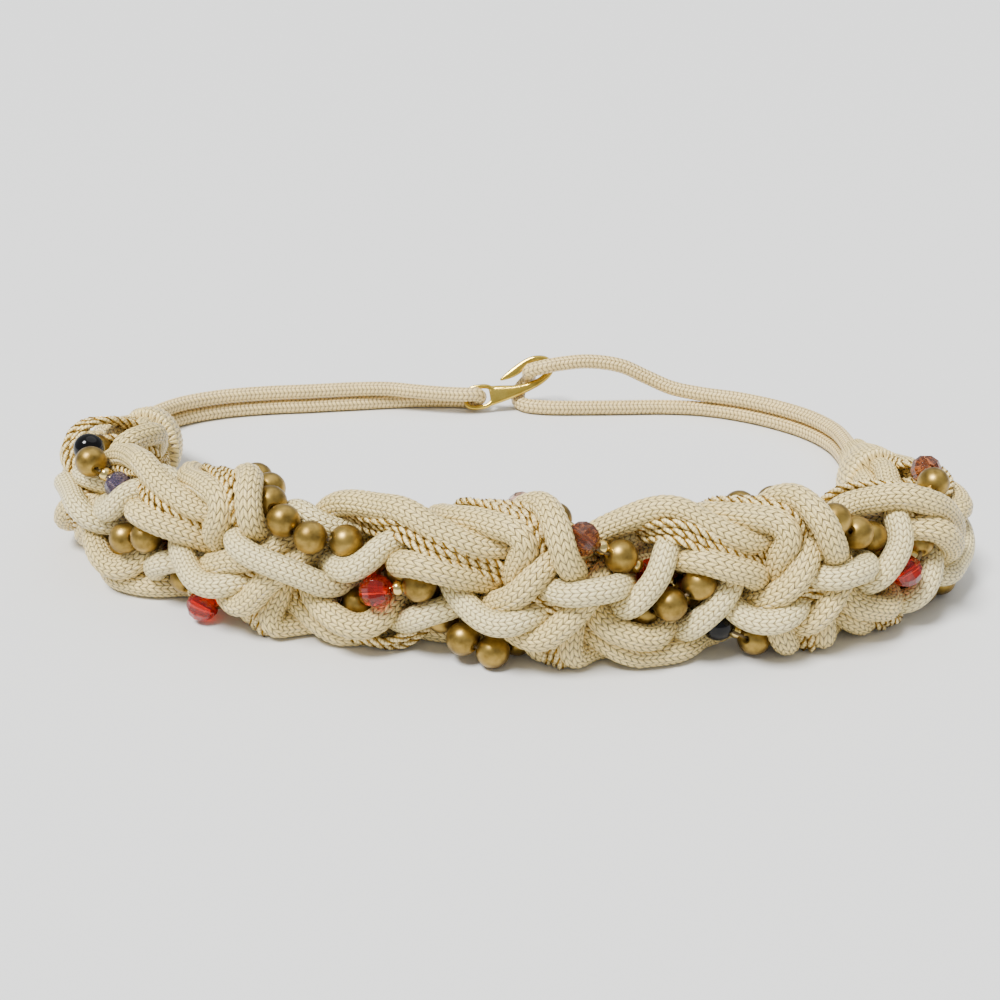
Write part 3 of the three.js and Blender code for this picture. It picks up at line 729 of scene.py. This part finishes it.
# Painted shade: the twisted cord's dark colour, between its stitches
PLY = knitted("twisted cord", srgb(254, 230, 158), srgb(140, 106, 42), 1.0, 0.0001, STITCHES, 0.3, 0.04)
LUREX = plain("metallic thread", Base_Color=srgb(150, 116, 44), Metallic=0.9, Roughness=0.28)
MATTE_GOLD = worn_gold("matte gold", srgb(170, 140, 70), srgb(104, 82, 34), 0.36)
PALE_GOLD = plain("pale gold", Base_Color=srgb(226, 200, 128), Metallic=1, Roughness=0.18)
HOOK_GOLD = worn_gold("polished gold", srgb(214, 184, 84), srgb(184, 152, 60), 0.12)
BLACK = plain("black stone", Base_Color=srgb(5, 4, 4), Roughness=0.1, Specular_IOR_Level=0.25)
RED = plain("red-orange glass", Base_Color=srgb(228, 40, 0), Transmission_Weight=0.9, **GLASS)
TOPAZ = plain("topaz glass", Base_Color=srgb(172, 104, 66), Transmission_Weight=0.9, **GLASS)
PINK = plain("pale pink glass", Base_Color=srgb(222, 182, 162), Transmission_Weight=0.92, **GLASS)
LILAC = plain("lilac glass", Base_Color=srgb(164, 150, 192), Transmission_Weight=0.92, **GLASS)
THREAD = plain("bead thread", Base_Color=srgb(96, 78, 44), Roughness=0.6)
FLOOR = plain("floor", Base_Color=srgb(226, 226, 224), Roughness=0.7)

# The camera and the light
CAMERA_SPOT = np.array([4, -415, 200])
CAMERA_PITCH = 65.3
CAMERA_LENS = 45.9
ROOM_LIGHT = 0.6
LIGHTS = [
    {"name": "window light", "from": (-0.35, -0.3, 0.9), "angle": 20, "power": 6.4},
    {"name": "ceiling light", "from": (0.3, 0.3, 1.0), "angle": 60, "power": 0.9},
]
FLOOR_REACH = 12.0

sleeve_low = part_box("end_sleeve_left")[0]
SHIFT = np.array(sleeve_low) / MM - SLEEVE_LOW
FLOOR_LEVEL = -SHIFT[2]
camera = bpy.data.objects.new("camera", bpy.data.cameras.new("camera"))
bpy.context.scene.collection.objects.link(camera)
camera.location = Vector((CAMERA_SPOT + SHIFT) * MM)
camera.rotation_euler = (math.radians(CAMERA_PITCH), 0, 0)
camera.data.lens = CAMERA_LENS
camera.data.sensor_width = 36
bpy.context.scene.camera = camera

world = bpy.data.worlds.new("world")
world.use_nodes = True
room = world.node_tree.nodes["Background"]
room.inputs["Color"].default_value = srgb(236, 240, 246)
room.inputs["Strength"].default_value = ROOM_LIGHT
bpy.context.scene.world = world

for light in LIGHTS:
    lamp = bpy.data.objects.new(light["name"], bpy.data.lights.new(light["name"], "SUN"))
    lamp.data.angle = math.radians(light["angle"])
    lamp.data.energy = light["power"]
    lamp.location = light["from"]
    lamp.rotation_euler = (-Vector(light["from"])).to_track_quat("-Z", "Y").to_euler()
    bpy.context.scene.collection.objects.link(lamp)

# The floor
floor_mesh = bpy.data.meshes.new("floor")
corners = [(x * FLOOR_REACH, y * FLOOR_REACH, 0) for x, y in ((-1, -1), (1, -1), (1, 1), (-1, 1))]
floor_mesh.from_pydata(corners, [], [(0, 1, 2, 3)])
floor_mesh.materials.append(FLOOR)
floor = bpy.data.objects.new("floor", floor_mesh)
bpy.context.scene.collection.objects.link(floor)

# Back cords
for side, route in CORD_ROUTES.items():
    points = above_floor(spline(route, CORD_STEP), BACK_CORD / 2)
    shell = tube_shell(points, BACK_CORD / 2, **CORD_STITCHES)
    piece = add_piece("herringbone_cord_" + side, [shell], [HERRINGBONE], "back_cord", "back_cord_" + side)
    path = (points + SHIFT) * MM


# Ropes
def rope_piece(name, path, step, size, stitches, material, slot):
    """A rope's piece along its settled path, and that path as the piece follows it."""
    eased = above_floor(rounded(spaced(into_sleeves(path), step), size / 2), size / 2)
    add_piece(name + "_knitted", [tube_shell(eased, size / 2, **stitches)], [material], slot, name)
    return eased


PATHS = settle(lay_out())
for name, path in PATHS.items():
    if name.startswith("satin"):
        PATHS[name] = rope_piece(name, path, SATIN_STEP, SATIN_ROPE, SATIN_STITCHES, SATIN, "satin_rope")
    if name.startswith(("knit", "wrap")):
        PATHS[name] = rope_piece(name, path, KNIT_STEP, KNIT_ROPE, KNIT_STITCHES, KNIT, "knit_rope")

# Twisted cords with metallic thread, in the groove between two ropes: three on its outer face, two on its inner
TWISTS = {
    "gold_twist_1": ("knit_rope_1", "knit_rope_2"),
    "gold_twist_2": ("knit_rope_3", "knit_rope_4"),
    "gold_twist_3": ("wrap_rope_1", "wrap_rope_2"),
}
TWIST_PITCH = 6.5
TWISTED_CORD = 2.8
TWIST_PLACES = [(-2.3, 3.4), (0, 2.9), (2.3, 3.4), (-1.2, -2.7), (1.2, -2.7)]
TWIST_EVENING = 4
FACE_EVENING = 12
YARN_PLY = {"off": 0.62, "radius": 0.72, "sides": 5}
METAL_PLY = {"off": 1.12, "radius": 0.3, "sides": 3}


def nearest(points, others):
    """For each point, the nearest of the others."""
    return others[((points[:, None] - others[None]) ** 2).sum(-1).argmin(1)]


def evened(values, passes):
    """A path whose points lean on their neighbours, with its ends kept."""
    for _ in range(passes):
        inner = (values[:-2] + values[2:]) / 4 + values[1:-1] / 2
        values = np.concatenate([values[:1], inner, values[-1:]])
    return values


def ply_shell(points, ply, start, material=0):
    """One strand that winds round a path."""
    _, side, top = frames(points)
    angle = (2 * math.pi * distances(points) / TWIST_PITCH + start)[:, None]
    wound = points + ply["off"] * (side * np.cos(angle) + top * np.sin(angle))
    return tube_shell(wound, ply["radius"], ply["sides"], material=material)


for name, (one, two) in TWISTS.items():
    middle = rounded(spaced(into_sleeves(PATHS[name]), TWIST_STEP), GOLD_TWIST / 2)
    across = nearest(middle, PATHS[one]) - nearest(middle, PATHS[two])
    across = unit(evened(unit(across), FACE_EVENING))
    face = unit(np.cross(np.gradient(middle, axis=0), across))
    shells = []
    for shift, raised in TWIST_PLACES:
        line = evened(middle + across * shift + face * raised, TWIST_EVENING)
        line = above_floor(line, TWISTED_CORD / 2)
        for start in (0, math.pi):
            shells.append(ply_shell(line, YARN_PLY, start))
            shells.append(ply_shell(line, METAL_PLY, start + math.pi / 2, 1))
    add_piece(name + "_plied", shells, [PLY, LUREX], "knit_rope")


# Bead strings
GOLD_PITCH = BEAD + 0.3
JEWEL_PITCH = BEAD + SPACER
BEAD_HOLE = 0.9
SPACER_HOLE = 0.6
SPACER_RADIUS = SPACER / 2 + 0.4
THREAD_RADIUS = 0.5
THREAD_SIDES = 6
BALL_SIDES = 24
CUT_SIDES = 10
CUT_TURN = 0.3
SPACER_SIDES = 14
JEWEL_MATERIALS = {
    "gold": MATTE_GOLD,
    "black": BLACK,
    "red": RED,
    "topaz": TOPAZ,
    "pink": PINK,
    "lilac": LILAC,
    "spacer": PALE_GOLD,
    "thread": THREAD,
}
CUT_STONES = ("red", "topaz", "pink", "lilac")

# Every second jewel bead from the left end; the others are gold
COLOURED = (
    "red black lilac topaz red black pink red black pink "
    "topaz red black topaz lilac red black topaz"
).split()


def ball(radius, hole, rows):
    """A drilled ball's profile, from one rim of its hole to the other."""
    rim = math.asin(hole / radius)
    angles = np.linspace(rim, math.pi - rim, rows)
    return [(-radius * math.cos(a), radius * math.sin(a)) for a in angles]


def bead_places(points, pitch):
    """The middle and the way of each bead of a string, and the stretch that they are threaded on."""
    fine = spaced(above_floor(points, BEAD / 2), BEAD_STEP)
    ways = unit(np.gradient(fine, axis=0))
    long = (len(fine) - 1) * BEAD_STEP
    count = int((long - 2 * BEAD_END_RUN - BEAD) / pitch) + 1
    first = (long - (count - 1) * pitch) / 2
    picks = [int(round((first + i * pitch) / BEAD_STEP)) for i in range(count)]
    return [(fine[i], ways[i]) for i in picks], fine[picks[0] : picks[-1]]


GOLD_BALL = ball(BEAD / 2, BEAD_HOLE, 14)
CUT_BALL = ball(BEAD / 2, BEAD_HOLE, 7)
SPACER_BALL = ball(SPACER_RADIUS, SPACER_HOLE, 9)

beads, thread = bead_places(PATHS["gold_bead_string"], GOLD_PITCH)
shells = [lathe_shell(centre, way, GOLD_BALL, BALL_SIDES) for centre, way in beads]
shells.append(tube_shell(thread, THREAD_RADIUS, THREAD_SIDES, material=1))
add_piece("gold_beads", shells, [MATTE_GOLD, THREAD], "gold_bead", "gold_bead_string")

beads, thread = bead_places(PATHS["jewel_bead_string"], JEWEL_PITCH)
kinds = list(JEWEL_MATERIALS)
shells = []
for i, (centre, way) in enumerate(beads):
    kind = COLOURED[i // 2] if i % 2 else "gold"
    if kind in CUT_STONES:
        shells.append(lathe_shell(centre, way, CUT_BALL, CUT_SIDES, kinds.index(kind), turn=i * CUT_TURN))
    else:
        shells.append(lathe_shell(centre, way, GOLD_BALL, BALL_SIDES, kinds.index(kind)))
    if i:
        before = beads[i - 1][0]
        between = (centre + before) / 2
        onward = unit(centre - before)
        shells.append(lathe_shell(between, onward, SPACER_BALL, SPACER_SIDES, kinds.index("spacer")))
shells.append(tube_shell(thread, THREAD_RADIUS, THREAD_SIDES, material=kinds.index("thread")))
jewels = add_piece("jewel_beads", shells, JEWEL_MATERIALS.values(), "jewel_bead", "jewel_bead_string")
cut = [kinds.index(kind) for kind in CUT_STONES]
for face in jewels.data.polygons:
    face.use_smooth = face.material_index not in cut

# Sleeves
for side, rows in SLEEVE_ROWS.items():
    middle = spline([(row["x"], row["y"], row["z"]) for row in rows], CORD_STEP)
    share = np.linspace(0, len(rows) - 1, len(middle))
    wide = np.interp(share, range(len(rows)), [row["wide"] / 2 for row in rows])[:, None]
    tall = np.interp(share, range(len(rows)), [row["tall"] / 2 for row in rows])[:, None]
    _, out, top = frames(middle)
    run = distances(middle)
    sides = SLEEVE_STITCHES["sides"]
    u = np.arange(sides + 1) / sides * SLEEVE_STITCHES["columns"]
    v = run / SLEEVE_STITCHES["row"]
    stitches = stitch_height(u[None, :-1], v[:, None], SLEEVE_STITCHES["slant"])
    from_end = np.minimum(run, run[-1] - run)
    size = 1 + SLEEVE_STITCHES["raised"] * (stitches - 1) / tall
    size = size * np.sqrt(np.clip(from_end / SLEEVE_EDGE, 0.001, 1))[:, None]
    angle = 2 * math.pi * np.arange(sides) / sides
    rings = middle[:, None] + out[:, None] * (size * wide * np.cos(angle))[..., None]
    rings = rings + top[:, None] * (size * tall * np.sin(angle))[..., None]
    add_piece("knitted_sleeve_" + side, [grid_shell(rings, u, v)], [KNIT], "knit_rope", "end_sleeve_" + side)

# The hook: an eye and a curled bar, fused and rounded like cast metal
HOOK_SIDES = 20
HOOK_STEP = 0.5
HOOK_SQUARE = 0.75
EYE_STEPS = 64
CAST_GRAIN = 0.00026
POLISH_ROUNDS = 8


def squared(v, power):
    """A side of an oval, drawn out towards a rounded rectangle."""
    return np.sign(v) * np.abs(v) ** power


def hook_point(along, across):
    """Places in the hook's plane, and the way out of it."""
    way = np.array([math.cos(HOOK_RISE), 0, math.sin(HOOK_RISE)])
    up = np.array([0, math.cos(HOOK_TILT), math.sin(HOOK_TILT)])
    return HOOK_FROM + along[:, None] * way + across[:, None] * up, unit(np.cross(way, up))


def flat_rings(centres, face, half, thick, closed):
    """Rounded rectangles across a path in the hook's plane, from half their widths and thicknesses."""
    ahead = np.roll(centres, -1, 0) - np.roll(centres, 1, 0) if closed else np.gradient(centres, axis=0)
    side = unit(np.cross(ahead, face))
    angle = 2 * math.pi * np.arange(HOOK_SIDES) / HOOK_SIDES
    sideways = half[:, None] * squared(np.cos(angle), HOOK_SQUARE)
    outward = thick[:, None] * squared(np.sin(angle), HOOK_SQUARE)
    return centres[:, None] + side[:, None] * sideways[..., None] + face * outward[..., None]


def capped(rings):
    """Rings with a point at each end, so that the tube is closed."""
    ends = [np.repeat(ring.mean(0)[None], len(ring), 0) for ring in (rings[0], rings[-1])]
    return np.concatenate([ends[:1], rings, ends[1:]])


rows = spline(HOOK_BAR, HOOK_STEP)
centres, face = hook_point(rows[:, 0], rows[:, 1])
bar = capped(flat_rings(centres, face, rows[:, 2], rows[:, 3], False))
angle = 2 * math.pi * np.arange(EYE_STEPS) / EYE_STEPS
eye, face = hook_point(
    HOOK_EYE["along"] + HOOK_EYE["long"] * squared(np.cos(angle), HOOK_EYE["square"]),
    HOOK_EYE["wide"] * squared(np.sin(angle), HOOK_EYE["square"]),
)
half = np.full(EYE_STEPS, HOOK_EYE["half"])
thick = np.full(EYE_STEPS, HOOK_EYE["thick"])
eye = flat_rings(eye, face, half, thick, True)
around = np.arange(HOOK_SIDES + 1.0)
shells = [grid_shell(bar, around, np.arange(len(bar) + 1.0))]
shells.append(grid_shell(eye, around, np.arange(len(eye) + 1.0), closed=True))
cast = make_object("hook_cast", shells, [HOOK_GOLD])
fuse = cast.modifiers.new("fuse", "REMESH")
fuse.mode = "VOXEL"
fuse.voxel_size = CAST_GRAIN
fuse.use_smooth_shade = True
polish = cast.modifiers.new("polish", "SMOOTH")
polish.factor = 0.5
polish.iterations = POLISH_ROUNDS
fused = bpy.data.meshes.new_from_object(cast.evaluated_get(bpy.context.evaluated_depsgraph_get()))
bpy.data.objects.remove(cast)
hook = bpy.data.objects.new("polished_hook", fused)
bpy.context.scene.collection.objects.link(hook)
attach(hook, "root")
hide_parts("hook")
